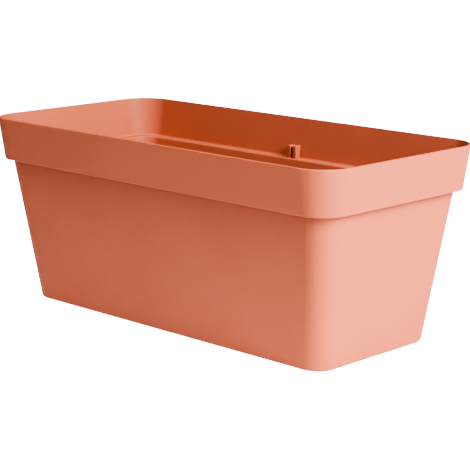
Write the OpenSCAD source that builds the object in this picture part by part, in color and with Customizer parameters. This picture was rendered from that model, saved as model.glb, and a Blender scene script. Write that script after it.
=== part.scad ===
// Self-watering trough planter: a drafted trough with a stepped collar,
// and a lift-out separator plate that keeps the soil above a water reservoir.
// Millimetres. +X along the length, +Y to the back, +Z up.
// The origin is the centre of the footprint, on the surface the trough stands on.

/* [Trough] */
// Length over the rim
trough_l = 600; // [540:10:700]
// Width over the rim
trough_w = 292; // [270:2:340]
// Height from the ground to the rim
trough_h = 247; // [210:1:290]
// Moulded wall thickness
wall = 2.6; // [2.4:0.1:3.4]
// Plan radius of the corners at the rim
rim_corner_r = 42; // [38:1:50]
// Plan radius of the body corners under the collar
body_corner_r = 29; // [26:1:34]
// Plan radius of the body corners at the ground
base_corner_r = 26; // [24:1:30]
// How far each body wall leans in from the collar down to the ground
body_taper = 25.5; // [18:0.5:30]

/* [Collar] */
// Height of the collar band
collar_h = 56; // [48:1:66]
// How far the collar leans in from the rim to its lower edge
collar_taper = 8; // [5:0.5:10]
// Width of the step from the collar's lower edge in to the body
step_w = 9; // [8.5:0.5:14]
// Edge radius of the rim
rim_edge_r = 1; // [0.6:0.1:1.1]
// Edge radius under the collar
collar_edge_r = 1.6; // [1:0.1:2.5]
// Fillet where the collar's inner face meets the ledge
ledge_fillet_r = 2.5; // [1.5:0.5:5]
// Round on the ledge's inner edge
ledge_nose_r = 2; // [1.5:0.5:3]

/* [Base] */
// Height of the recess under the floor
recess_h = 5; // [4:0.5:8]
// Width of the standing ring
foot_w = 8; // [6:0.5:10]
// Outer edge radius of the standing ring
base_edge_r = 4; // [2:0.5:6]
// Radius between the walls and the floor inside
floor_fillet_r = 5; // [3:0.5:8]
// Thickness of the ribs under the floor
rib_t = 2.5; // [2:0.1:4]
// Number of cross ribs under the floor
rib_count = 7; // [3:1:11]

/* [Nesting lugs] */
// Clear gap between the two ribs of a pair
lug_gap = 3.5; // [2.5:0.5:8]
// Distance of a pair from the middle of its wall
lug_shift = 1.5; // [0:0.1:4]
// Thickness of one rib
lug_t = 6.2; // [4:0.2:8]
// Height of a rib above the ledge
lug_h = 17; // [12:0.5:24]
// How far a rib stands out from the collar's inner face
lug_depth = 7.4; // [6:0.2:8.6]

/* [Overflow] */
// Radius of the two overflow holes
overflow_r = 6; // [5:0.5:8]
// Height of the overflow holes above the floor
overflow_z = 34; // [24:1:36]
// Distance of each overflow hole from the middle
overflow_x = 150; // [110:5:190]
// Material around an overflow hole
overflow_boss_w = 4.5; // [3.5:0.5:6]
// Thickness of a plug's head
plug_head_t = 3; // [2:0.5:5]
// Thickness of a sealing washer
washer_t = 1.5; // [1:0.1:3]

/* [Drain] */
// Radius of the drain hole in the floor
drain_r = 10; // [7:0.5:13]
// Height of the boss round the drain hole
drain_boss_h = 4; // [3:0.5:6]
// Height of the grip on the drain plug
drain_grip_h = 12; // [9:0.5:14]

/* [Separator plate] */
// Height of the water space under the plate
reservoir_h = 50; // [50:1:62]
// Plate thickness
plate_t = 2.5; // [2:0.1:4]
// Gap between the plate's edge and the trough wall
plate_gap = 1.4; // [1:0.1:3]
// Height of the upturned edge
plate_lip_h = 9; // [6:0.5:14]
// Width of a drain slot
slot_w = 3; // [2:0.5:4]
// Length of a drain slot
slot_l = 20; // [14:1:24]
// Distance between slots along the plate
slot_pitch_x = 32; // [28:1:40]
// Distance between rows of slots
slot_pitch_y = 18; // [14:1:24]

/* [Soil baskets] */
// Radius of a basket at the plate
basket_r = 40; // [34:1:44]
// Radius of a basket at its floor
basket_floor_r = 30; // [26:1:33]
// Distance of each basket from the middle
basket_x = 92; // [84:1:104]
// Wall thickness of a basket
basket_wall = 2; // [1.5:0.1:3]
// Number of slots round a basket
basket_slots = 14; // [8:1:18]

/* [Pillars] */
// Radius of a pillar's foot
pillar_foot_r = 12; // [10:0.5:15]
// Radius of a pillar under the plate
pillar_r = 8; // [7:0.5:10]
// Radius of the peg that plugs into the plate
pillar_peg_r = 4; // [3:0.5:5]

/* [Filler] */
// Bore radius of the filler tube
filler_r = 14; // [11:0.5:16]
// Wall thickness of the filler tube
filler_wall = 1.8; // [1.4:0.1:2.5]
// Distance of the mouth below the rim
filler_drop = 35; // [32:1:60]
// Plate left free between the filler or the gauge and the plate's end
column_end_w = 28; // [20:1:40]
// Thickness of the lid
lid_t = 2.2; // [1.8:0.1:3]
// Radius of the lid's hinge pin
pin_r = 1.2; // [1:0.1:1.6]

/* [Level gauge] */
// Bore radius of the gauge tube
gauge_r = 9; // [8:0.5:11]
// Wall thickness of the gauge tube
gauge_wall = 1.8; // [1.4:0.1:2.5]
// Radius of the float
float_r = 17; // [14:0.5:19]
// Height of the float
float_h = 14; // [10:1:16]
// How far the float rises from empty to full
float_travel = 22; // [16:1:24]
// Radius of the float's rod
rod_r = 2; // [1.5:0.1:3]

/* [Hidden] */
$fn = 64;
small_fn = 24;        // facets round slots, finger holes and rounded corners

terracotta = [0.80, 0.42, 0.29];
insert_grey = [0.27, 0.27, 0.28];

run_gap = 0.05;      // radial clearance of a pin or plug that moves in its hole
seat_gap = 0.3;      // clearance of moving faces that are not a fit
fit_gap = 0.15;      // radial clearance of pieces that plug together and stay
press_gap = 0.02;    // radial clearance round a pin or rod that is glued or pressed in
corner_steps = 12;   // flat facets in each quarter of a lofted corner
lug_nose = 1;        // bevel along the front and the top of a nesting rib
cut = 1;             // how far a cutting solid runs past the face it cuts
edge_bevel = 0.8;    // bevel on the outer edges of the plugs, the lid, the pillars and the flanges

// Heights.
floor_z = recess_h + wall;
step_z = trough_h - collar_h;
ledge_z = step_z + wall;
plate_z = floor_z + reservoir_h;
plate_top = plate_z + plate_t;

// ---------- the trough's section ----------
// A section point is [inset from the rim's outline, height, plan corner radius].

function body_inset(z) = collar_taper + step_w + body_taper * (1 - z / step_z);
function body_r(z) = base_corner_r + (body_corner_r - base_corner_r) * z / step_z;
function outer_pt(z) = [body_inset(z), z, body_r(z)];
function inner_pt(z) = [body_inset(z) + wall, z, body_r(z) - wall];
// The collar leans, so the widest line of its rounded rim lies a little inside its flat faces' corner.
rim_round_in = rim_edge_r * (collar_taper / collar_h + norm([1, collar_taper / collar_h]) - 1);
function collar_inset(z) = collar_taper * (trough_h - z) / collar_h - rim_round_in;
function collar_pt(z, in) = [collar_inset(z) + in, z, rim_corner_r - collar_inset(z) - in];
function inner_half_w(z) = trough_w / 2 - body_inset(z) - wall;
function inner_half_l(z) = trough_l / 2 - body_inset(z) - wall;

// The direction of a step between two section points, measured on inset and height only.
function unit(v) = v / norm([v[0], v[1]]);

// The arc of radius r that replaces the section's corner at p1.
function rounded(p0, p1, p2, r, n) =
    let (
        u1 = unit(p0 - p1),
        u2 = unit(p2 - p1),
        phi = acos(u1[0] * u2[0] + u1[1] * u2[1]),
        centre = p1 + (u1 + u2) * r / sin(phi),
        a = p1 + u1 * r / tan(phi / 2) - centre,
        b = p1 + u2 * r / tan(phi / 2) - centre,
        sweep = 180 - phi
    )
    [for (k = [0:n])
        centre + (a * sin((1 - k / n) * sweep) + b * sin(k / n * sweep)) / sin(sweep)];

// Walks a list of [point, radius, steps] and rounds each corner that has a radius.
function section(corners) =
    [for (i = [0:len(corners) - 1])
        each corners[i][1] == 0
            ? [corners[i][0]]
            : rounded(corners[i - 1][0], corners[i][0], corners[i + 1][0], corners[i][1], corners[i][2])];

// The rounded rectangle that a section point draws round the trough.
function ring(p) =
    let (x = trough_l / 2 - p[0] - p[2], y = trough_w / 2 - p[0] - p[2])
    [for (q = [0:3], k = [0:corner_steps])
        let (a = 90 * q + 90 * k / corner_steps, sx = (q == 0 || q == 3) ? 1 : -1, sy = q < 2 ? 1 : -1)
        [sx * x + p[2] * cos(a), sy * y + p[2] * sin(a), p[1]]];

// Sweeps a section round the trough and closes both of its ends with flat caps.
module section_loft(points) {
    rings = [for (p = points) ring(p)];
    n = len(rings[0]);
    last = (len(rings) - 1) * n;
    polyhedron(
        points = [for (r = rings) each r],
        faces = concat(
            [[for (j = [0:n - 1]) j]],
            [for (k = [0:len(rings) - 2], j = [0:n - 1])
                let (a = k * n + j, b = k * n + (j + 1) % n)
                [a, a + n, b + n, b]],
            [[for (j = [n - 1:-1:0]) last + j]]
        )
    );
}

// ---------- trough ----------

throat_r = 1;        // radius where the collar's underside meets the body
boss_proud = 1;      // how far a boss stands out from its wall
drain_boss_w = 6;    // material around the drain hole
rib_lift = 1;        // gap between the floor's ribs and the ground
rib_root = 2;        // how far those ribs run into the standing ring

overflow_boss_r = overflow_r + overflow_boss_w;
overflow_face_y = trough_w / 2 - body_inset(floor_z + overflow_z + overflow_boss_r) + boss_proud;
overflow_inner_y = inner_half_w(floor_z + overflow_z - overflow_boss_r) - boss_proud;
drain_boss_r = drain_r + drain_boss_w;
drain_seat_z = floor_z + drain_boss_h;

trough_section = section([
    [outer_pt(0) + [foot_w + recess_h / 2, recess_h, -foot_w - recess_h / 2], 0],
    [outer_pt(0) + [foot_w, 0, -foot_w], 0],
    [outer_pt(0), base_edge_r, 4],
    [outer_pt(step_z), throat_r, 2],
    [collar_pt(step_z, 0), collar_edge_r, 3],
    [collar_pt(trough_h, 0), rim_edge_r, 3],
    [collar_pt(trough_h, wall), rim_edge_r, 3],
    [collar_pt(ledge_z, wall), ledge_fillet_r, 6],
    [inner_pt(step_z) + [0, wall, 0], ledge_nose_r, 5],
    [inner_pt(floor_z), floor_fillet_r, 5],
    [inner_pt(floor_z) + [base_corner_r / 2, 0, -base_corner_r / 2], 0],
]);

// A rib's side, drawn back from its front and its top by in, and given thickness t.
module rib_slice(t, in) {
    front = collar_inset(ledge_z) + wall + lug_depth - in;
    root_z = ledge_z - wall / 2;
    top = ledge_z + lug_h - in;
    rotate([90, 0, 90])
        linear_extrude(height = t, center = true)
            polygon([
                [-collar_inset(top) - wall / 2, top],
                [-front, top],
                [-front, root_z],
                [-collar_inset(root_z) - wall / 2, root_z],
            ]);
}

// One rib, which stands on the ledge and leans with the collar's wall behind it.
module nesting_rib() {
    hull() {
        rib_slice(lug_t, lug_nose);
        rib_slice(lug_t - 2 * lug_nose, 0);
    }
}

// A nested trough rests on these ribs before its walls jam in this one's.
module nesting_lugs() {
    for (side = [0, 180], s = [-1, 1])
        rotate([0, 0, side])
            translate([lug_shift + s * (lug_gap + lug_t) / 2, trough_w / 2, 0])
                nesting_rib();
}

module overflow_boss() {
    translate([0, overflow_inner_y, floor_z + overflow_z])
        rotate([-90, 0, 0])
            cylinder(r = overflow_boss_r, h = overflow_face_y - overflow_inner_y);
}

// Ribs that stiffen the floor from below, a little clear of the ground.
module floor_ribs() {
    rib_h = recess_h + wall / 2 - rib_lift;
    in = foot_w + recess_h / 2 - rib_root;
    l = trough_l - 2 * (body_inset(0) + in);
    w = trough_w - 2 * (body_inset(0) + in);
    for (i = [0:rib_count - 1])
        translate([(i + 0.5) * l / rib_count - l / 2 - rib_t / 2, -w / 2, rib_lift])
            cube([rib_t, w, rib_h]);
    for (s = [-1, 1])
        translate([-l / 2, s * w / 5 - rib_t / 2, rib_lift])
            cube([l, rib_t, rib_h]);
}

module trough() {
    color(terracotta)
        difference() {
            union() {
                section_loft(trough_section);
                nesting_lugs();
                for (s = [-1, 1])
                    translate([s * overflow_x, 0, 0])
                        overflow_boss();
                difference() {
                    floor_ribs();
                    cylinder(r = drain_boss_r, h = recess_h);
                }
                translate([0, 0, recess_h])
                    cylinder(r = drain_boss_r, h = drain_seat_z - recess_h);
            }
            for (s = [-1, 1])
                translate([s * overflow_x, overflow_inner_y - cut, floor_z + overflow_z])
                    rotate([-90, 0, 0])
                        cylinder(r = overflow_r, h = overflow_face_y - overflow_inner_y + 2 * cut);
            cylinder(r = drain_r, h = drain_seat_z + cut);
        }
}

// ---------- overflow plugs ----------

plug_lead = 2;       // length of the bevelled end of a plug
washer_in = 0.5;     // how far a washer's rim, and a plug's flange, stay inside what they sit on
plug_flange_r = overflow_boss_r - washer_in;
plug_grip_w = 1.4 * plug_flange_r;
plug_grip_h = 7;
plug_grip_t = 3;

// A bar to pull on, with rounded shoulders and a hole for a cord or a finger, standing on z = 0.
module grip(w, h, t, hole_r) {
    shoulder_r = min(w, h) / 2;
    rotate([90, 0, 0])
        linear_extrude(height = t, center = true)
            difference() {
                hull() {
                    translate([-w / 2, -cut])
                        square([w, cut]);
                    for (s = [-1, 1])
                        translate([s * (w / 2 - shoulder_r), h - shoulder_r])
                            circle(r = shoulder_r, $fn = small_fn);
                }
                translate([0, h / 2])
                    circle(r = hole_r, $fn = small_fn);
            }
}

module overflow_plug() {
    shank = overflow_face_y - overflow_inner_y + washer_t;
    color(insert_grey)
        translate([0, overflow_face_y + washer_t, floor_z + overflow_z])
            rotate([-90, 0, 0]) {
                rotate_extrude()
                    polygon([
                        [0, -shank - plug_lead],
                        [overflow_r - plug_lead, -shank - plug_lead],
                        [overflow_r - run_gap, -shank],
                        [overflow_r - run_gap, 0],
                        [plug_flange_r, 0],
                        [plug_flange_r, plug_head_t - edge_bevel],
                        [plug_flange_r - edge_bevel, plug_head_t],
                        [0, plug_head_t],
                    ]);
                translate([0, 0, plug_head_t])
                    grip(plug_grip_w, plug_grip_h, plug_grip_t, plug_grip_h / 3.5);
            }
}

module overflow_washer() {
    color("black")
        translate([0, overflow_face_y, floor_z + overflow_z])
            rotate([-90, 0, 0])
                difference() {
                    cylinder(r = plug_flange_r - washer_in, h = washer_t);
                    translate([0, 0, -cut])
                        cylinder(r = overflow_r + fit_gap, h = washer_t + 2 * cut);
                }
}

// ---------- drain plug ----------

drain_flange_r = drain_boss_r - washer_in;
drain_flange_t = 3;
drain_grip_w = 1.6 * drain_r;
drain_grip_t = 4;
drain_plug_lift = 0.5;   // how far the plug's end stays above the underside of the floor

module drain_plug() {
    head_z = drain_seat_z + washer_t;
    low_z = recess_h + drain_plug_lift;
    color(insert_grey) {
        rotate_extrude()
            polygon([
                [0, low_z],
                [drain_r - plug_lead, low_z],
                [drain_r - run_gap, low_z + plug_lead],
                [drain_r - run_gap, head_z],
                [drain_flange_r, head_z],
                [drain_flange_r, head_z + drain_flange_t - edge_bevel],
                [drain_flange_r - edge_bevel, head_z + drain_flange_t],
                [0, head_z + drain_flange_t],
            ]);
        translate([0, 0, head_z + drain_flange_t])
            grip(drain_grip_w, drain_grip_h, drain_grip_t, drain_grip_h / 3);
    }
}

module drain_washer() {
    color("black")
        difference() {
            translate([0, 0, drain_seat_z])
                cylinder(r = drain_flange_r - washer_in, h = washer_t);
            cylinder(r = drain_r + fit_gap, h = drain_seat_z + washer_t + cut);
        }
}

// ---------- separator plate ----------

basket_flange_w = 5;
peg_boss_h = 6;
plate_root_r = 1.5;      // radius where the plate's upturned edge rises
slot_margin = 2;         // plate left between a slot and a flange
plate_edge_margin = 12;  // plate left between a slot and the plate's edge
column_flange_w = 5;
float_clearance = 1.2;   // between the float and its cage
filler_outer_r = filler_r + filler_wall;
filler_flange_r = filler_outer_r + column_flange_w;
cage_r = float_r + float_clearance + gauge_wall;
cage_flange_r = cage_r + column_flange_w;
// Both columns stand as close to the front wall as the plate's edge allows their flanges, and the
// fillet along the floor the float's cage.
column_edge_w = plate_gap + plate_t + plate_root_r + max(filler_flange_r, cage_flange_r);
column_x = inner_half_l(plate_z) - column_edge_w - column_end_w;
column_y = -min(
    inner_half_w(plate_z) - column_edge_w,
    inner_half_w(floor_z) - floor_fillet_r - cage_r - 2 * seat_gap
);

pillar_edge_w = floor_fillet_r + pillar_foot_r + 3;  // from a pillar's middle to the wall
pillar_x = inner_half_l(floor_z) - pillar_edge_w;
pillar_y = inner_half_w(floor_z) - pillar_edge_w;
// The front corners belong to the columns, so the front pillars stand nearer the middle.
pillar_places = [
    [0, pillar_y], [0, -pillar_y],
    [pillar_x, pillar_y], [-pillar_x, pillar_y],
    [pillar_x, 0], [-pillar_x, 0],
    [basket_x + basket_r / 2, -pillar_y], [-basket_x - basket_r / 2, -pillar_y],
];

// Discs of the plate that hold something else than slots: [x, y, radius].
taken = concat(
    [for (s = [-1, 1]) [s * basket_x, 0, basket_r + basket_flange_w + slot_margin]],
    [for (p = pillar_places) [p[0], p[1], pillar_r + slot_margin / 2]],
    [[-column_x, column_y, filler_flange_r + slot_margin]],
    [[column_x, column_y, cage_flange_r + slot_margin]]
);

// How near the slot centred on p comes to a disc's centre.
function slot_reach(p, d) =
    let (dx = max(abs(p[0] - d[0]) - slot_l / 2, 0), dy = max(abs(p[1] - d[1]) - slot_w / 2, 0))
    sqrt(dx * dx + dy * dy);
function slot_fits(p) = min([for (d = taken) slot_reach(p, d) - d[2]]) > 0;

module drain_slot() {
    square([slot_l - slot_w, slot_w], center = true);
    for (s = [-1, 1])
        translate([s * (slot_l - slot_w) / 2, 0])
            circle(d = slot_w, $fn = small_fn);
}

module slot_field() {
    nx = floor((inner_half_l(plate_z) - plate_edge_margin - slot_l / 2) / slot_pitch_x);
    ny = floor((inner_half_w(plate_z) - plate_edge_margin) / slot_pitch_y);
    for (i = [-nx:nx], j = [-ny:ny])
        if (slot_fits([i * slot_pitch_x, j * slot_pitch_y]))
            translate([i * slot_pitch_x, j * slot_pitch_y])
                drain_slot();
}

function plate_edge(z, in) = inner_pt(z) + [plate_gap + in, 0, -plate_gap - in];

plate_section = section([
    [plate_edge(plate_z, 4 * plate_t), 0],
    [plate_edge(plate_z, 0), plate_root_r, 3],
    [plate_edge(plate_z + plate_lip_h, 0), 0],
    [plate_edge(plate_z + plate_lip_h, plate_t), 0],
    [plate_edge(plate_top, plate_t), plate_root_r, 2],
    [plate_edge(plate_top, 4 * plate_t), 0],
]);

module through_plate() {
    translate([0, 0, plate_z - cut])
        linear_extrude(height = plate_t + 2 * cut)
            children();
}

module separator_plate() {
    color(insert_grey)
        difference() {
            union() {
                section_loft(plate_section);
                for (p = pillar_places)
                    translate([p[0], p[1], plate_z - peg_boss_h])
                        cylinder(r = pillar_r, h = peg_boss_h + plate_t / 2);
            }
            through_plate() {
                slot_field();
                for (s = [-1, 1])
                    translate([s * basket_x, 0])
                        circle(r = basket_r + fit_gap);
                translate([-column_x, column_y])
                    circle(r = filler_outer_r + fit_gap);
                translate([column_x, column_y])
                    circle(r = cage_r + fit_gap);
            }
            for (p = pillar_places)
                translate([p[0], p[1], plate_z - peg_boss_h - cut])
                    cylinder(r = pillar_peg_r + fit_gap, h = peg_boss_h + cut);
        }
}

// ---------- soil baskets ----------

basket_rim_h = 2;        // upright part of the wall below the plate
basket_slot_w = 4;       // width of a slot in the wall
basket_slot_low = 7;     // wall left solid below the slots, and as much above
basket_floor_slot_w = 3;
basket_floor_slots = 5;

// A slotted cup that hangs in the plate and stands on the floor.
module soil_basket() {
    slot_h = reservoir_h - 2 * basket_slot_low;
    floor_slot_l = 1.8 * (basket_floor_r / 2);
    floor_pitch = 1.1 * basket_floor_r / (basket_floor_slots - 1);
    color(insert_grey)
        difference() {
            rotate_extrude()
                polygon([
                    [0, floor_z],
                    [basket_floor_r, floor_z],
                    [basket_r, plate_z - basket_rim_h],
                    [basket_r, plate_top],
                    [basket_r + basket_flange_w, plate_top],
                    [basket_r + basket_flange_w, plate_top + basket_wall - edge_bevel],
                    [basket_r + basket_flange_w - edge_bevel, plate_top + basket_wall],
                    [basket_r - basket_wall, plate_top + basket_wall],
                    [basket_r - basket_wall, plate_z - basket_rim_h],
                    [basket_floor_r - basket_wall, floor_z + basket_wall],
                    [0, floor_z + basket_wall],
                ]);
            for (i = [0:basket_slots - 1])
                rotate([0, 0, i * 360 / basket_slots])
                    translate([0.7 * basket_floor_r, -basket_slot_w / 2, floor_z + basket_slot_low])
                        cube([basket_r, basket_slot_w, slot_h]);
            for (i = [0:basket_floor_slots - 1])
                translate([(i - (basket_floor_slots - 1) / 2) * floor_pitch, 0, floor_z + basket_wall / 2])
                    cube([basket_floor_slot_w, floor_slot_l, basket_wall + 2 * cut], center = true);
        }
}

// ---------- pillars ----------

pillar_foot_t = 2.5;
pillar_taper = 1.5;      // how much wider a pillar is above its foot than under the plate
pillar_root_h = 3;       // height of the cone between the foot and the pillar

module support_pillars() {
    top = plate_z - peg_boss_h;
    low = floor_z + pillar_foot_t;
    peg_top = plate_z - seat_gap;
    root_r = pillar_r + pillar_taper;
    color(insert_grey)
        for (p = pillar_places)
            translate([p[0], p[1], 0])
                rotate_extrude()
                    polygon([
                        [0, floor_z],
                        [pillar_foot_r, floor_z],
                        [pillar_foot_r, low - edge_bevel],
                        [pillar_foot_r - edge_bevel, low],
                        [root_r, low + pillar_root_h],
                        [pillar_r, top],
                        [pillar_peg_r, top],
                        [pillar_peg_r, peg_top - edge_bevel],
                        [pillar_peg_r - edge_bevel, peg_top],
                        [0, peg_top],
                    ]);
}

// ---------- filler ----------

filler_foot_h = 9;       // gap under the tube's foot, where the water runs out
flange_t = 2;            // thickness of the flanges on the plate
mouth_h = 14;            // height of the widened mouth
mouth_widening = 5;
ear_t = 3;
knuckle_wall = 1.6;
knuckle_l = 12;
hinge_stand_off = 0.6;   // clearance between the knuckle and the mouth
lid_ring_w = 2;          // wall of the ring under the lid
lid_ring_drop = 2;       // how deep that ring reaches into the mouth
lid_ring_gap = 2;        // clearance round its top, and a millimetre more at its lower edge
tab_w = 14;
tab_l = 5;
tab_r = 4;

filler_top = trough_h - filler_drop;
mouth_r = filler_r + mouth_widening;
mouth_outer_r = mouth_r + filler_wall;
knuckle_r = pin_r + knuckle_wall;
hinge_y = column_y - mouth_outer_r - knuckle_r - hinge_stand_off;
hinge_z = filler_top + seat_gap + lid_t / 2;

module filler_tube() {
    foot = floor_z + filler_foot_h;
    cone_z = filler_top - mouth_h;
    cone_top = filler_top - mouth_h / 2;
    color(insert_grey)
        difference() {
            union() {
                translate([-column_x, column_y, 0])
                    rotate_extrude()
                        polygon([
                            [filler_r, foot],
                            [filler_outer_r, foot],
                            [filler_outer_r, plate_top],
                            [filler_flange_r, plate_top],
                            [filler_flange_r, plate_top + flange_t - edge_bevel],
                            [filler_flange_r - edge_bevel, plate_top + flange_t],
                            [filler_outer_r, plate_top + flange_t],
                            [filler_outer_r, cone_z],
                            [mouth_outer_r, cone_top],
                            [mouth_outer_r, filler_top],
                            [mouth_r, filler_top],
                            [mouth_r, cone_top],
                            [filler_r, cone_z],
                        ]);
                for (s = [-1, 1])
                    filler_ear(s);
            }
            translate([-column_x, hinge_y, hinge_z])
                rotate([0, 90, 0])
                    cylinder(r = pin_r + press_gap, h = knuckle_l + 4 * ear_t, center = true);
        }
}

// One of the two ears that hold the hinge pin, on the outside of the mouth.
module filler_ear(s) {
    x = -column_x + s * (knuckle_l / 2 + seat_gap + ear_t / 2) - ear_t / 2;
    back = column_y - sqrt(pow(mouth_r + filler_wall / 2, 2) - pow(knuckle_l / 2 + 2 * ear_t, 2));
    cone_top = filler_top - mouth_h / 2;
    translate([x, hinge_y, hinge_z])
        rotate([0, 90, 0])
            cylinder(r = knuckle_r, h = ear_t);
    translate([x, hinge_y - knuckle_r, cone_top])
        cube([ear_t, back - hinge_y + knuckle_r, filler_top - cone_top]);
    translate([x, hinge_y - knuckle_r, cone_top])
        cube([ear_t, 2 * knuckle_r, hinge_z - cone_top]);
}

module filler_lid() {
    lid_z = filler_top + seat_gap;
    ring_r = mouth_r - lid_ring_gap;
    color(terracotta)
        difference() {
            union() {
                translate([-column_x, column_y, lid_z])
                    rotate_extrude()
                        polygon([
                            [0, 0],
                            [mouth_outer_r, 0],
                            [mouth_outer_r, lid_t - edge_bevel],
                            [mouth_outer_r - edge_bevel, lid_t],
                            [0, lid_t],
                        ]);
                translate([-column_x, column_y, filler_top - lid_ring_drop])
                    difference() {
                        cylinder(r1 = ring_r - 1, r2 = ring_r, h = lid_ring_drop + 2 * seat_gap);
                        translate([0, 0, -cut])
                            cylinder(r = ring_r - 1 - lid_ring_w, h = lid_ring_drop + 2 * cut);
                    }
                // Finger tab, opposite the hinge.
                translate([-column_x, column_y + mouth_outer_r + tab_l, lid_z])
                    linear_extrude(height = lid_t)
                        hull() {
                            for (s = [-1, 1])
                                translate([s * (tab_w / 2 - tab_r), -tab_r])
                                    circle(r = tab_r, $fn = small_fn);
                            translate([-tab_w / 2, -tab_l - filler_wall])
                                square([tab_w, filler_wall]);
                        }
                translate([-column_x - knuckle_l / 2, hinge_y, lid_z])
                    cube([knuckle_l, column_y - mouth_r - hinge_y, lid_t]);
                translate([-column_x, hinge_y, hinge_z])
                    rotate([0, 90, 0])
                        cylinder(r = knuckle_r, h = knuckle_l, center = true);
            }
            translate([-column_x, hinge_y, hinge_z])
                rotate([0, 90, 0])
                    cylinder(r = pin_r + run_gap, h = knuckle_l + 2 * cut, center = true);
        }
}

module lid_hinge_pin() {
    color("silver")
        translate([-column_x, hinge_y, hinge_z])
            rotate([0, 90, 0])
                cylinder(r = pin_r, h = knuckle_l + 2 * seat_gap + 2 * ear_t, center = true);
}

// ---------- level gauge ----------

cage_floor_t = 2;
cage_windows = 8;
cage_window_w = 5;
cage_window_low = 4;     // wall left solid below the cage's windows
cage_window_top = 8;     // and between them and the plate
cage_hole_r = 5;         // hole in the middle of the cage's floor
pointer_h = 6;
guide_t = 3;             // thickness of the tube's end, which guides the rod
rod_clearance = 0.4;
window_wall = 1.6;
window_socket_h = 12;    // how far the window reaches down over the tube
dome_h = 4.8;            // rise of the window's domed end
tube_root = 2;           // width of the cone at the tube's foot
tube_root_h = 6;
seat_bead_h = 2;         // height of the cone under the window's seat

gauge_outer_r = gauge_r + gauge_wall;
cage_floor = floor_z + cage_floor_t;
float_z = cage_floor + seat_gap;
tube_seat = plate_top + flange_t;
pointer_r = gauge_r - 1;
window_shoulder = filler_top - 2;
pointer_z = window_shoulder - float_travel - pointer_h - 2;
tube_top = pointer_z - 2;
window_r = gauge_outer_r + fit_gap + window_wall;
window_seat = tube_top - window_socket_h;

module at_gauge() {
    translate([column_x, column_y, 0])
        children();
}

module float_cage() {
    window_z = cage_floor + cage_window_low;
    window_h = plate_z - cage_window_top - window_z;
    color(insert_grey)
        at_gauge()
            difference() {
                rotate_extrude()
                    polygon([
                        [0, floor_z],
                        [cage_r, floor_z],
                        [cage_r, plate_top],
                        [cage_flange_r, plate_top],
                        [cage_flange_r, tube_seat],
                        [cage_r - gauge_wall, tube_seat],
                        [cage_r - gauge_wall, cage_floor],
                        [0, cage_floor],
                    ]);
                for (i = [0:cage_windows - 1])
                    rotate([0, 0, i * 360 / cage_windows])
                        translate([float_r - cut, -cage_window_w / 2, window_z])
                            cube([cage_r - float_r + 2 * cut, cage_window_w, window_h]);
                translate([0, 0, floor_z - cut])
                    cylinder(r = cage_hole_r, h = cage_floor_t + 2 * cut);
            }
}

module gauge_tube() {
    color(insert_grey)
        at_gauge()
            rotate_extrude()
                polygon([
                    [gauge_r, tube_seat],
                    [cage_flange_r, tube_seat],
                    [cage_flange_r, tube_seat + flange_t - edge_bevel],
                    [cage_flange_r - edge_bevel, tube_seat + flange_t],
                    [gauge_outer_r + tube_root, tube_seat + flange_t],
                    [gauge_outer_r, tube_seat + flange_t + tube_root_h],
                    [gauge_outer_r, window_seat - seat_bead_h - window_wall],
                    [window_r, window_seat - seat_bead_h],
                    [window_r, window_seat],
                    [gauge_outer_r, window_seat],
                    [gauge_outer_r, tube_top],
                    [rod_r + rod_clearance, tube_top],
                    [rod_r + rod_clearance, tube_top - guide_t],
                    [gauge_r, tube_top - guide_t],
                ]);
}

// Half of a dome's outline, from its shoulder at radius r to the axis.
function dome(r, h) = [for (a = [0:15:90]) [r * cos(a), window_shoulder + h * sin(a)]];
function reversed(list) = [for (i = [len(list) - 1:-1:0]) list[i]];

module gauge_window() {
    inner_r = window_r - window_wall;
    color([0.85, 0.9, 0.9, 0.4])
        at_gauge()
            rotate_extrude()
                polygon(concat(
                    [[inner_r, window_seat], [window_r, window_seat]],
                    dome(window_r, dome_h),
                    reversed(dome(inner_r, dome_h - window_wall))
                ));
}

float_bevel = 2;
rod_z = float_z + 3;     // the rod's lower end, in the float

module gauge_float() {
    color("white")
        at_gauge()
            difference() {
                translate([0, 0, float_z])
                    rotate_extrude()
                        polygon([
                            [0, 0],
                            [float_r - float_bevel, 0],
                            [float_r, float_bevel],
                            [float_r, float_h - float_bevel],
                            [float_r - float_bevel, float_h],
                            [0, float_h],
                        ]);
                translate([0, 0, rod_z])
                    cylinder(r = rod_r + press_gap, h = float_h);
            }
}

rod_top = pointer_z + pointer_h - 2;

module float_rod() {
    color("silver")
        at_gauge()
            translate([0, 0, rod_z])
                cylinder(r = rod_r, h = rod_top - rod_z);
}

module level_pointer() {
    color("red")
        at_gauge()
            translate([0, 0, pointer_z])
                difference() {
                    cylinder(r = pointer_r, h = pointer_h);
                    translate([0, 0, -cut])
                        cylinder(r = rod_r + press_gap, h = rod_top - pointer_z + cut);
                }
}

trough();
separator_plate();
translate([-basket_x, 0, 0]) soil_basket();  // soil_basket_left
translate([basket_x, 0, 0]) soil_basket();  // soil_basket_right
support_pillars();
filler_tube();
filler_lid();
lid_hinge_pin();
float_cage();
gauge_tube();
gauge_window();
gauge_float();
float_rod();
level_pointer();
translate([-overflow_x, 0, 0]) overflow_plug();  // overflow_plug_left
translate([overflow_x, 0, 0]) overflow_plug();  // overflow_plug_right
translate([-overflow_x, 0, 0]) overflow_washer();  // overflow_washer_left
translate([overflow_x, 0, 0]) overflow_washer();  // overflow_washer_right
drain_plug();
drain_washer();
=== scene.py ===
"""The looks of a self-watering trough planter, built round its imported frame, in metres.

+X runs along the length, +Y to the back wall and +Z up. The origin is on the ground, in the middle
of the footprint.
"""
import math

import bmesh
import bpy
from mathutils import Matrix, Vector


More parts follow.
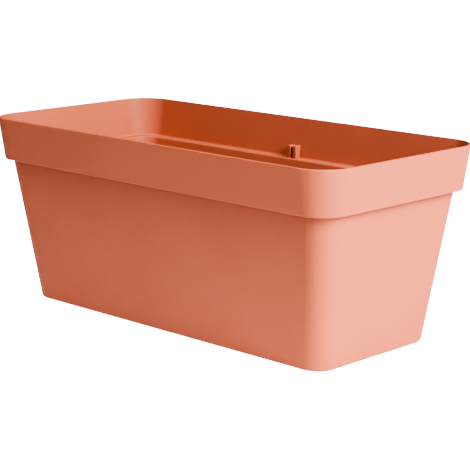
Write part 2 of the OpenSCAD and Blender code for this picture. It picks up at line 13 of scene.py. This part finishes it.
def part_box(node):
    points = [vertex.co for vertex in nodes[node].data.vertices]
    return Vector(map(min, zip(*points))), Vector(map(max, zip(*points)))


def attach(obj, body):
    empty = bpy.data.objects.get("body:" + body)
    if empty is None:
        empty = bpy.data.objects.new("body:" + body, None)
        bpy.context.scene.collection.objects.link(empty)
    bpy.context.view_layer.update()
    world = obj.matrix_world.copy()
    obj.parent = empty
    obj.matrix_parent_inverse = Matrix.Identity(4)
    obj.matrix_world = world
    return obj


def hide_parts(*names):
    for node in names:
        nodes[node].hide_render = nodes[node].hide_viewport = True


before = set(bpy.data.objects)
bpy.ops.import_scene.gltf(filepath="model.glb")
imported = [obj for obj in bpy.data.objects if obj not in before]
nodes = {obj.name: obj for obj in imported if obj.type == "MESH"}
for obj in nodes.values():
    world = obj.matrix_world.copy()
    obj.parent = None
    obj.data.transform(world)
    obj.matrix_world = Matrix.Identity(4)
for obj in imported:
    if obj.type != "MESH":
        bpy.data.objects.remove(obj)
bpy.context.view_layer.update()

MM = 0.001

# ---------------------------------------------------------------- sizes of the trough

WALL = 2.6 * MM
COLLAR_H = 56 * MM
COLLAR_TAPER = 8 * MM       # how far the collar leans in from the rim to its lower edge
STEP_W = 9 * MM             # the step from the collar's lower edge in to the body
BODY_TAPER = 25.5 * MM      # how far the body leans in from the collar to the ground
RIM_CORNER_R = 42 * MM      # plan radii of the corners
BODY_CORNER_R = 29 * MM
BASE_CORNER_R = 26 * MM
RIM_OUTER_R = 1.7 * MM      # the rim is rounder outside than inside
RIM_INNER_R = 0.8 * MM
COLLAR_EDGE_R = 1.6 * MM
STEP_ROOT_R = 1 * MM
LEDGE_FILLET_R = 2.5 * MM
LEDGE_NOSE_R = 2 * MM
BASE_EDGE_R = 4 * MM
FLOOR_FILLET_R = 5 * MM
FLOOR_CAP_INSET = BASE_CORNER_R / 2  # from the floor's edge to the flat cap that ends the section
RECESS_H = 5 * MM
RECESS_LEAN = RECESS_H / 2  # how far the recess under the floor narrows towards its top
FOOT_W = 8 * MM

FLOOR_RIB_COUNT = 7
FLOOR_RIB_T = 2.5 * MM
FLOOR_RIB_Z = 1 * MM        # the ribs under the floor stay this far off the ground
FLOOR_RIB_ROOT = 2 * MM     # how far their ends run into the foot
LONG_RIB_PLACE = 0.4        # of the way out from the middle
LONG_RIB_RAISED = 0.15 * MM  # the long ribs start this much above the cross ribs,
LONG_RIB_LOWERED = 0.2 * MM  # and end this much below, so that no two of their faces coincide

NEST_GAP = 3.5 * MM         # between the two nesting ribs of a pair
NEST_SHIFT = 1.5 * MM       # the pair's middle, from the trough's
NEST_T = 6.2 * MM
NEST_H = 17 * MM
NEST_DEPTH = 7.4 * MM
NEST_BEVEL = 1 * MM

OVERFLOW_R = 6 * MM
OVERFLOW_BOSS_W = 4.5 * MM
OVERFLOW_BOSS_ROOT = 1 * MM  # how far the boss stands out inside the wall
OVERFLOW_BOSS_EDGE = 0.8 * MM
DRAIN_R = 10 * MM
DRAIN_BOSS_W = 6 * MM
DRAIN_BOSS_EDGE = 1 * MM
DRAIN_BOSS_Z = RECESS_H + 0.1 * MM  # the boss starts just above the floor's lower face
BORE_PAST = 5 * MM          # how far a bore's tool runs past what it cuts

CORNER_STEPS = 20           # facets in a quarter of a corner
BORE_STEPS = 64             # facets round a bore
BEVEL_STEPS = 3
BEVEL_ANGLE = 35            # degrees between faces from which an edge is bevelled
SHARP_ANGLE = 32            # and from which it is shaded as an edge
FLAT_FACE_WEIGHT = 80       # how far large faces steer the shading's normals, from 1 to 100

low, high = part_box("trough")
LENGTH, WIDTH, HEIGHT = high - low
STEP_Z = HEIGHT - COLLAR_H
LEDGE_Z = STEP_Z + WALL
FLOOR_Z = RECESS_H + WALL
COLLAR_SLOPE = COLLAR_TAPER / COLLAR_H
# How far the rounded rim stays inside the sharp corner of its section.
RIM_ROUND_IN = RIM_OUTER_R * (COLLAR_SLOPE + math.hypot(1, COLLAR_SLOPE) - 1)


def middle(node):
    """The centre of a node's box."""
    lowest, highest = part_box(node)
    return (lowest + highest) / 2


# ---------------------------------------------------------------- mesh helpers


def link(name, data):
    """A new object in the scene, with the given mesh, light or camera."""
    made = bpy.data.objects.new(name, data)
    bpy.context.scene.collection.objects.link(made)
    return made


def loft(name, rings):
    """A closed solid through rings of equally many points, with a flat cap on each end."""
    bm = bmesh.new()
    made = [[bm.verts.new(p) for p in ring] for ring in rings]
    count = len(made[0])
    for a, b in zip(made, made[1:]):
        for i in range(count):
            j = (i + 1) % count
            bm.faces.new((a[i], a[j], b[j], b[i]))
    bm.faces.new(made[0])
    bm.faces.new(list(reversed(made[-1])))
    bmesh.ops.recalc_face_normals(bm, faces=bm.faces)
    mesh = bpy.data.meshes.new(name)
    bm.to_mesh(mesh)
    bm.free()
    return link(name, mesh)


def lathe(name, profile):
    """A solid of revolution about Z through (radius, height) points, with flat ends."""
    turn = [2 * math.pi * k / BORE_STEPS for k in range(BORE_STEPS)]
    rings = [[(r * math.cos(a), r * math.sin(a), z) for a in turn] for r, z in profile]
    return loft(name, rings)


def slab(name, outline, thickness):
    """An outline in (x, y), given thickness about z = 0."""
    half = thickness / 2
    return loft(name, [[(x, y, z) for x, y in outline] for z in (-half, half)])


def block(name, lowest, highest):
    """A box between two corners."""
    (x0, y0, z0), (x1, y1, z1) = lowest, highest
    piece = slab(name, [(x0, y0), (x1, y0), (x1, y1), (x0, y1)], z1 - z0)
    piece.data.transform(Matrix.Translation((0, 0, (z0 + z1) / 2)))
    return piece


def drop(piece):
    mesh = piece.data
    bpy.data.objects.remove(piece)
    bpy.data.meshes.remove(mesh)


def bake(piece):
    """Replaces the piece's mesh by the result of its modifiers."""
    bpy.context.view_layer.update()
    graph = bpy.context.evaluated_depsgraph_get()
    mesh = bpy.data.meshes.new_from_object(piece.evaluated_get(graph))
    piece.modifiers.clear()
    piece.data = mesh
    return piece


def cut_or_join(piece, tools, operation):
    """Applies one boolean with each tool and throws the tools away."""
    for tool in tools:
        step = piece.modifiers.new("boolean", "BOOLEAN")
        step.operation = operation
        step.solver = "EXACT"
        step.object = tool
    bake(piece)
    for tool in tools:
        drop(tool)


def bevel(piece, width):
    step = piece.modifiers.new("bevel", "BEVEL")
    step.width = width
    step.segments = BEVEL_STEPS
    step.limit_method = "ANGLE"
    step.angle_limit = math.radians(BEVEL_ANGLE)
    step.use_clamp_overlap = True
    return bake(piece)


def smooth(piece):
    """Smooth shading that keeps flat faces flat and hard edges hard."""
    piece.data.shade_smooth()
    piece.data.set_sharp_from_angle(angle=math.radians(SHARP_ANGLE))
    step = piece.modifiers.new("flat faces stay flat", "WEIGHTED_NORMAL")
    step.keep_sharp = True
    step.weight = FLAT_FACE_WEIGHT


# ---------------------------------------------------------------- the trough's section
# A section point is (inset from the rim's outline, height, plan corner radius).


def body_inset(z):
    return COLLAR_TAPER + STEP_W + BODY_TAPER * (1 - z / STEP_Z)


def body_radius(z):
    return BASE_CORNER_R + (BODY_CORNER_R - BASE_CORNER_R) * z / STEP_Z


def outer(z):
    """A point of the body's outer face."""
    return Vector((body_inset(z), z, body_radius(z)))


def inner(z):
    """A point of the body's inner face."""
    return Vector((body_inset(z) + WALL, z, body_radius(z) - WALL))


def collar_inset(z):
    return COLLAR_TAPER * (HEIGHT - z) / COLLAR_H - RIM_ROUND_IN


def collar(z, inward):
    """A point of the collar's outer face, or inward from it."""
    inset = collar_inset(z) + inward
    return Vector((inset, z, RIM_CORNER_R - inset))


def rounded(before, at, after, radius, steps):
    """The arc that replaces the section's corner at one point."""
    back = (before - at) / (before - at).xy.length
    onward = (after - at) / (after - at).xy.length
    angle = math.acos(max(-1, min(1, back.xy.dot(onward.xy))))
    centre = at + (back + onward) * radius / math.sin(angle)
    first = at + back * radius / math.tan(angle / 2) - centre
    last = at + onward * radius / math.tan(angle / 2) - centre
    sweep = math.pi - angle
    arc = []
    for k in range(steps + 1):
        share = k / steps
        spoke = first * math.sin((1 - share) * sweep) + last * math.sin(share * sweep)
        arc.append(centre + spoke / math.sin(sweep))
    return arc


def section(corners):
    """Walks (point, radius, steps) and rounds each corner that has a radius."""
    points = []
    for i, (at, radius, steps) in enumerate(corners):
        if radius == 0:
            points.append(at)
        else:
            points += rounded(corners[i - 1][0], at, corners[i + 1][0], radius, steps)
    return points


def plan_ring(point):
    """The rounded rectangle that a section point draws round the trough."""
    inset, z, radius = point
    x, y = LENGTH / 2 - inset - radius, WIDTH / 2 - inset - radius
    ring = []
    for quarter, (sx, sy) in enumerate(((1, 1), (-1, 1), (-1, -1), (1, -1))):
        for k in range(CORNER_STEPS + 1):
            a = math.radians(90 * (quarter + k / CORNER_STEPS))
            ring.append((sx * x + radius * math.cos(a), sy * y + radius * math.sin(a), z))
    return ring


# From the recess under the floor, out and up to the rim, and down inside to the floor. Each row
# is a corner, its radius (0 leaves it sharp) and the facets of its arc.
SECTION = section([
    (outer(0) + Vector((FOOT_W + RECESS_LEAN, RECESS_H, -FOOT_W - RECESS_LEAN)), 0, 0),
    (outer(0) + Vector((FOOT_W, 0, -FOOT_W)), 0, 0),
    (outer(0), BASE_EDGE_R, 7),
    (outer(STEP_Z), STEP_ROOT_R, 3),
    (collar(STEP_Z, 0), COLLAR_EDGE_R, 5),
    (collar(HEIGHT, 0), RIM_OUTER_R, 8),
    (collar(HEIGHT, WALL), RIM_INNER_R, 4),
    (collar(LEDGE_Z, WALL), LEDGE_FILLET_R, 10),
    (inner(STEP_Z) + Vector((0, WALL, 0)), LEDGE_NOSE_R, 7),
    (inner(FLOOR_Z), FLOOR_FILLET_R, 7),
    (inner(FLOOR_Z) + Vector((FLOOR_CAP_INSET, 0, -FLOOR_CAP_INSET)), 0, 0),
])


# ---------------------------------------------------------------- what joins and cuts the shell


def nesting_rib(x):
    """A rib that stands on the back ledge and leans with the collar's wall behind it."""
    top_z, root_z = LEDGE_Z + NEST_H, LEDGE_Z - WALL / 2
    front = collar_inset(LEDGE_Z) + WALL + NEST_DEPTH
    outline = [
        (collar_inset(top_z) + WALL / 2, top_z),
        (front, top_z),
        (front, root_z),
        (collar_inset(root_z) + WALL / 2, root_z),
    ]
    rib = bevel(slab("rib", [(WIDTH / 2 - inset, z) for inset, z in outline], NEST_T), NEST_BEVEL)
    # The slab's x, y and z become the trough's y, z and x.
    rib.data.transform(Matrix(((0, 0, 1, x), (1, 0, 0, 0), (0, 1, 0, 0), (0, 0, 0, 1))))
    return rib


def nesting_ribs():
    """A pair on the back ledge, and the same pair turned half round, on the front ledge."""
    ribs = []
    for side in (-1, 1):
        for turn in (0, math.pi):
            rib = nesting_rib(NEST_SHIFT + side * (NEST_GAP + NEST_T) / 2)
            rib.data.transform(Matrix.Rotation(turn, 4, "Z"))
            ribs.append(rib)
    return ribs


def floor_ribs():
    """The ribs in the recess under the floor: seven across and two along."""
    inset = body_inset(0) + FOOT_W + RECESS_LEAN - FLOOR_RIB_ROOT
    x, y = LENGTH / 2 - inset, WIDTH / 2 - inset
    z0, z1 = FLOOR_RIB_Z, RECESS_H + WALL / 2
    half, boss_r = FLOOR_RIB_T / 2, DRAIN_R + DRAIN_BOSS_W
    ribs = []
    for i in range(FLOOR_RIB_COUNT):
        at = (i + 0.5) * 2 * x / FLOOR_RIB_COUNT - x
        spans = [(-y, y)]
        if abs(at) <= FLOOR_RIB_T:
            spans = [(-y, -boss_r), (boss_r, y)]  # the middle rib stops either side of the drain
        for lo, hi in spans:
            ribs.append(block("rib", (at - half, lo, z0), (at + half, hi, z1)))
    z0, z1 = z0 + LONG_RIB_RAISED, z1 - LONG_RIB_LOWERED
    for side in (-1, 1):
        at = side * LONG_RIB_PLACE * y
        ribs.append(block("rib", (-x, at - half, z0), (x, at + half, z1)))
    return ribs


def along_y(piece, x, z):
    """Turns a lathed piece's axis from Z to Y and puts it at x and z."""
    to_y = Matrix.Rotation(math.radians(-90), 4, "X")
    piece.data.transform(Matrix.Translation((x, 0, z)) @ to_y)
    return piece


def overflow_fittings():
    """The bosses round the two overflow holes, and the bores through them."""
    boss_r, edge = OVERFLOW_R + OVERFLOW_BOSS_W, OVERFLOW_BOSS_EDGE
    centres = [middle("overflow_washer_left"), middle("overflow_washer_right")]
    face_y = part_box("overflow_washer_left")[0].y
    wall_y = WIDTH / 2 - body_inset(centres[0].z - boss_r) - WALL
    back_y = wall_y - OVERFLOW_BOSS_ROOT
    bosses, bores = [], []
    for centre in centres:
        boss = lathe("boss", [(boss_r - edge, back_y), (boss_r, back_y + edge),
                              (boss_r, face_y - edge), (boss_r - edge, face_y)])
        bore = lathe("bore", [(OVERFLOW_R, back_y - BORE_PAST), (OVERFLOW_R, face_y + BORE_PAST)])
        bosses.append(along_y(boss, centre.x, centre.z))
        bores.append(along_y(bore, centre.x, centre.z))
    return bosses, bores


def drain_fittings():
    """The boss round the drain hole in the floor, and the bore through it."""
    boss_r, edge = DRAIN_R + DRAIN_BOSS_W, DRAIN_BOSS_EDGE
    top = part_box("drain_washer")[0].z
    boss = lathe("boss", [(boss_r, DRAIN_BOSS_Z), (boss_r, top - edge), (boss_r - edge, top)])
    bore = lathe("bore", [(DRAIN_R, -BORE_PAST), (DRAIN_R, top + BORE_PAST)])
    return boss, bore


def make_trough():
    shell = loft("trough_shell", [plan_ring(p) for p in SECTION])
    bosses, bores = overflow_fittings()
    drain_boss, drain_bore = drain_fittings()
    cut_or_join(shell, nesting_ribs() + floor_ribs() + bosses + [drain_boss], "UNION")
    cut_or_join(shell, bores + [drain_bore], "DIFFERENCE")
    smooth(shell)
    return shell


# ---------------------------------------------------------------- materials

WHITE = (1, 1, 1)
TERRACOTTA = (0.342, 0.091, 0.051)
TERRACOTTA_PAINTED_SHADE = (0.66, 0.56, 0.52)  # painted shade: multiplies the terracotta in its deepest creases
DARK_GREY = (0.028, 0.028, 0.030)
BLACK = (0.012, 0.012, 0.012)
RED = (0.62, 0.02, 0.012)
CLEAR = (0.93, 0.96, 0.96)
FOAM = (0.75, 0.74, 0.70)
STEEL = (0.60, 0.60, 0.61)
ALUMINIUM = (0.78, 0.78, 0.79)

TONE_NOISE = (9, 4)         # noise scales, per metre, and levels of detail
GLOSS_NOISE = (40, 3)
GRAIN_DETAIL = 3
GRAIN_STRENGTH = 0.5
GLOSS_VARY = 0.04           # how far the roughness strays to either side
PLASTIC_IOR = 1.5
CLEAR_IOR = 1.46
CLEAR_TRANSMISSION = 0.95
TERRACOTTA_SPECULAR = 0.15

# Painted shade in the trough's creases, found by ambient occlusion.
PAINTED_SHADE_REACH = 20 * MM
PAINTED_SHADE_SAMPLES = 8
PAINTED_SHADE_FULL, PAINTED_SHADE_NONE = 0.55, 0.95  # openness at which the painted shade is full, and gone
PAINTED_SHADE_FADE = 1 * MM        # the painted shade fades over this much either side of its upper limit
MIX_FACTOR, MIX_A, MIX_B = 0, 6, 7  # a Mix node's sockets for colours
MIX_RESULT = 2


def new_material(name):
    made = bpy.data.materials.new(name)
    made.use_nodes = True
    return made


def shader_of(material):
    return material.node_tree.nodes["Principled BSDF"]


def object_space(tree):
    return tree.nodes.new("ShaderNodeTexCoord").outputs["Object"]


def noise(tree, space, scale, detail):
    node = tree.nodes.new("ShaderNodeTexNoise")
    node.inputs["Scale"].default_value = scale
    node.inputs["Detail"].default_value = detail
    tree.links.new(space, node.inputs["Vector"])
    return node.outputs["Fac"]


def ramp(tree, factor, low_colour, high_colour, start=0.3, end=0.7):
    """One colour up to a factor of start, another from end on, and a blend between."""
    node = tree.nodes.new("ShaderNodeValToRGB")
    first, last = node.color_ramp.elements
    first.position, last.position = start, end
    first.color, last.color = (*low_colour, 1), (*high_colour, 1)
    tree.links.new(factor, node.inputs["Fac"])
    return node.outputs["Color"]


def map_range(tree, value, source, target):
    """Brings a value from one range to another."""
    node = tree.nodes.new("ShaderNodeMapRange")
    node.inputs["From Min"].default_value, node.inputs["From Max"].default_value = source
    node.inputs["To Min"].default_value, node.inputs["To Max"].default_value = target
    tree.links.new(value, node.inputs["Value"])
    return node


def shade(colour, by):
    """A colour made darker or lighter."""
    return tuple(min(1, c * by) for c in colour)


def moulded_plastic(name, colour, rough, vary, grain=0.06 * MM, grain_scale=900):
    """A moulded plastic: slight tone changes, a fine grain and a patchy gloss."""
    made = new_material(name)
    tree, shader = made.node_tree, shader_of(made)
    space = object_space(tree)
    patches = noise(tree, space, *TONE_NOISE)
    tone = ramp(tree, patches, shade(colour, 1 - vary), shade(colour, 1 + vary))
    tree.links.new(tone, shader.inputs["Base Color"])
    patches = noise(tree, space, *GLOSS_NOISE)
    gloss = map_range(tree, patches, (0, 1), (rough - GLOSS_VARY, rough + GLOSS_VARY))
    tree.links.new(gloss.outputs["Result"], shader.inputs["Roughness"])
    bump = tree.nodes.new("ShaderNodeBump")
    bump.inputs["Strength"].default_value = GRAIN_STRENGTH
    bump.inputs["Distance"].default_value = grain
    tree.links.new(noise(tree, space, grain_scale, GRAIN_DETAIL), bump.inputs["Height"])
    tree.links.new(bump.outputs["Normal"], shader.inputs["Normal"])
    shader.inputs["IOR"].default_value = PLASTIC_IOR
    return made


def paint_crease_shade(material, darkest, below):
    """Paints shade into the trough's colour in its creases below a height, darkest right under the
    collar.
    """
    tree, base = material.node_tree, shader_of(material).inputs["Base Color"]
    openness = tree.nodes.new("ShaderNodeAmbientOcclusion")
    openness.samples = PAINTED_SHADE_SAMPLES
    openness.only_local = True
    openness.inputs["Distance"].default_value = PAINTED_SHADE_REACH
    painted_shade = ramp(tree, openness.outputs["AO"], darkest, WHITE, PAINTED_SHADE_FULL, PAINTED_SHADE_NONE)
    split = tree.nodes.new("ShaderNodeSeparateXYZ")
    tree.links.new(object_space(tree), split.inputs["Vector"])
    fade = (below + PAINTED_SHADE_FADE, below - PAINTED_SHADE_FADE)
    painted_shade_mask = map_range(tree, split.outputs["Z"], fade, (0, 1))
    with_painted_shade = tree.nodes.new("ShaderNodeMix")
    with_painted_shade.data_type = "RGBA"
    with_painted_shade.blend_type = "MULTIPLY"
    tree.links.new(painted_shade_mask.outputs["Result"], with_painted_shade.inputs[MIX_FACTOR])
    tree.links.new(base.links[0].from_socket, with_painted_shade.inputs[MIX_A])
    tree.links.new(painted_shade, with_painted_shade.inputs[MIX_B])
    tree.links.new(with_painted_shade.outputs[MIX_RESULT], base)


def terracotta_plastic():
    made = moulded_plastic("terracotta plastic", TERRACOTTA, rough=0.56, vary=0.03)
    shader_of(made).inputs["Specular IOR Level"].default_value = TERRACOTTA_SPECULAR
    # painted shade: the creases below the collar's step are darkened in the colour
    paint_crease_shade(made, TERRACOTTA_PAINTED_SHADE, STEP_Z)
    return made


def clear_plastic():
    made = moulded_plastic("clear plastic", CLEAR, rough=0.12, vary=0.01, grain=0.01 * MM)
    shader_of(made).inputs["Transmission Weight"].default_value = CLEAR_TRANSMISSION
    shader_of(made).inputs["IOR"].default_value = CLEAR_IOR
    return made


def metal(name, colour, rough):
    made = moulded_plastic(name, colour, rough, vary=0.04, grain=0.02 * MM, grain_scale=1500)
    shader_of(made).inputs["Metallic"].default_value = 1.0
    return made


def finish_with(piece, material):
    piece.data.materials.clear()
    piece.data.materials.append(material)


# ---------------------------------------------------------------- dressing the object

terracotta = terracotta_plastic()
dark = moulded_plastic("dark moulded plastic", DARK_GREY, rough=0.5, vary=0.15)
seal = moulded_plastic("black rubber", BLACK, rough=0.7, vary=0.2, grain=0.08 * MM)
foam = moulded_plastic("float foam", FOAM, rough=0.75, vary=0.03, grain=0.3 * MM, grain_scale=500)

trough = make_trough()
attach(trough, "trough")
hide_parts("trough")
finish_with(trough, terracotta)

NODE_FINISH = {
    "separator_plate": dark,
    "soil_basket_left": dark,
    "soil_basket_right": dark,
    "support_pillars": dark,
    "filler_tube": dark,
    "filler_lid": terracotta,
    "lid_hinge_pin": metal("stainless steel", STEEL, rough=0.28),
    "float_cage": dark,
    "gauge_tube": dark,
    "gauge_window": clear_plastic(),
    "gauge_float": foam,
    "float_rod": metal("drawn aluminium", ALUMINIUM, rough=0.32),
    "level_pointer": moulded_plastic("red plastic", RED, rough=0.25, vary=0.04),
    "overflow_plug_left": dark,
    "overflow_plug_right": dark,
    "overflow_washer_left": seal,
    "overflow_washer_right": seal,
    "drain_plug": dark,
    "drain_washer": seal,
}
for name, material in NODE_FINISH.items():
    finish_with(nodes[name], material)

# ---------------------------------------------------------------- stage, light and camera

PHOTO_SIDE = 470            # the photograph is square, in pixels
CAMERA_AZIMUTH = 43.99      # degrees; 0 looks along +Y
CAMERA_ELEVATION = 12.46
CAMERA_ROLL = 0.25
CAMERA_DISTANCE = 2.05266
CAMERA_FOCAL = 1595.4       # in pixels of the photograph
CAMERA_ASIDE = 0.01598      # the view's axis passes this far right of the object's middle
CAMERA_RAISED = -0.01450    # and this far above it
CAMERA_CLIP = (0.05, 50)
SENSOR = 36                 # the sensor's width, in millimetres

FLOOR_HALF = 6
FLOOR_TOP, FLOOR_BOTTOM = -0.2 * MM, -20 * MM
FLOOR_TONE = 0.86
FLOOR_ROUGH = 0.8
SEEN_WHITE = 3.8            # the strength that shows as white
# Painted light: the floor glows round the object, and its glow lights the object from below.
PAINTED_FLOOR_LIGHT = 0.6
PAINTED_LIGHT_OVAL = (0.6, 1, 0)     # shrinks distances along X, so that the painted glow is longer than it is wide
PAINTED_LIGHT_FULL, PAINTED_LIGHT_GONE = 0.15, 0.65  # distances from the object's middle, shrunk by PAINTED_LIGHT_OVAL
WORLD_GLOW = 0.02

DAYLIGHT = (0.92, 1, 1)
# Name, place, what it points at, size, watts and colour.
AREA_LIGHTS = (
    ("right high softbox", (2.2, -0.2, 1.5), (0.1, 0, 0.12), (1.2, 1.2), 145, DAYLIGHT),
    ("right softbox", (2.0, 0.2, 0.9), (0.1, 0, 0.12), (1.6, 1.6), 22, DAYLIGHT),
    ("right low softbox", (2.0, 0.1, 0.25), (0.3, 0, 0.15), (1.2, 0.4), 12, DAYLIGHT),
    ("overhead strip", (-0.1, -0.42, 1.4), (0, 0, 0.1), (1.4, 0.25), 14, WHITE),
    ("front overhead softbox", (0, -0.7, 1.5), (0, 0, 0.1), (1.6, 0.8), 8, WHITE),
    ("back softbox", (0.2, 1.8, 1.7), (0, 0, 0.15), (2.4, 1.2), 20, WHITE),
)


def make_camera():
    azimuth, elevation = math.radians(CAMERA_AZIMUTH), math.radians(CAMERA_ELEVATION)
    back = Vector((
        math.sin(azimuth) * math.cos(elevation),
        -math.cos(azimuth) * math.cos(elevation),
        math.sin(elevation),
    ))
    right = Vector((math.cos(azimuth), math.sin(azimuth), 0))
    up = back.cross(right)
    centre = Vector((0, 0, HEIGHT / 2))
    at = back * CAMERA_DISTANCE + right * CAMERA_ASIDE + up * CAMERA_RAISED + centre
    axes = Matrix((right, up, back)).transposed().to_4x4()
    roll = Matrix.Rotation(math.radians(CAMERA_ROLL), 4, "Z")
    data = bpy.data.cameras.new("camera")
    data.sensor_width = SENSOR
    data.lens = CAMERA_FOCAL * SENSOR / PHOTO_SIDE
    data.clip_start, data.clip_end = CAMERA_CLIP
    camera = link("camera", data)
    camera.matrix_world = Matrix.Translation(at) @ axes @ roll
    bpy.context.scene.camera = camera


def area_light(name, at, toward, size, watts, colour):
    data = bpy.data.lights.new(name, "AREA")
    data.shape = "RECTANGLE"
    data.size, data.size_y = size
    data.energy = watts
    data.color = colour
    light = link(name, data)
    light.location = at
    light.visible_camera = False
    light.rotation_mode = "QUATERNION"
    light.rotation_quaternion = (Vector(at) - Vector(toward)).to_track_quat("Z", "Y")


def seen_as_white(tree, light_given):
    """A strength that is plain white to look at, and gives the object only the light named.

    light_given is a number, or a socket that gives one.
    """
    seen = tree.nodes.new("ShaderNodeLightPath").outputs["Is Camera Ray"]
    strength = tree.nodes.new("ShaderNodeMath")
    strength.operation = "MULTIPLY_ADD"
    times_seen, by, plus = strength.inputs
    by.default_value = SEEN_WHITE
    tree.links.new(seen, times_seen)
    if isinstance(light_given, float):
        plus.default_value = light_given
    else:
        tree.links.new(light_given, plus)
    return strength.outputs["Value"]


def make_stage():
    """A pale floor, plain white to look at, with a painted glow that is strongest round the
    object, fades farther away, and lights the object from below.
    """
    half = FLOOR_HALF
    floor = block("floor", (-half, -half, FLOOR_BOTTOM), (half, half, FLOOR_TOP))
    made = new_material("pale floor")
    tree, shader = made.node_tree, shader_of(made)
    shader.inputs["Base Color"].default_value = (FLOOR_TONE, FLOOR_TONE, FLOOR_TONE, 1)
    shader.inputs["Roughness"].default_value = FLOOR_ROUGH
    shader.inputs["Emission Color"].default_value = (*WHITE, 1)
    oval = tree.nodes.new("ShaderNodeMapping")
    oval.inputs["Scale"].default_value = PAINTED_LIGHT_OVAL
    tree.links.new(object_space(tree), oval.inputs["Vector"])
    away = tree.nodes.new("ShaderNodeVectorMath")
    away.operation = "LENGTH"
    tree.links.new(oval.outputs["Vector"], away.inputs[0])
    painted_light = map_range(tree, away.outputs["Value"], (PAINTED_LIGHT_FULL, PAINTED_LIGHT_GONE), (PAINTED_FLOOR_LIGHT, 0))
    painted_light.interpolation_type = "SMOOTHSTEP"
    tree.links.new(seen_as_white(tree, painted_light.outputs["Result"]), shader.inputs["Emission Strength"])
    finish_with(floor, made)


def make_light():
    world = bpy.data.worlds.new("studio")
    world.use_nodes = True
    tree = world.node_tree
    background = tree.nodes["Background"]
    background.inputs["Color"].default_value = (*WHITE, 1)
    tree.links.new(seen_as_white(tree, WORLD_GLOW), background.inputs["Strength"])
    bpy.context.scene.world = world
    for row in AREA_LIGHTS:
        area_light(*row)
    bpy.context.scene.view_settings.view_transform = "AgX"
    bpy.context.scene.view_settings.look = "AgX - Very High Contrast"


make_stage()
make_light()
make_camera()
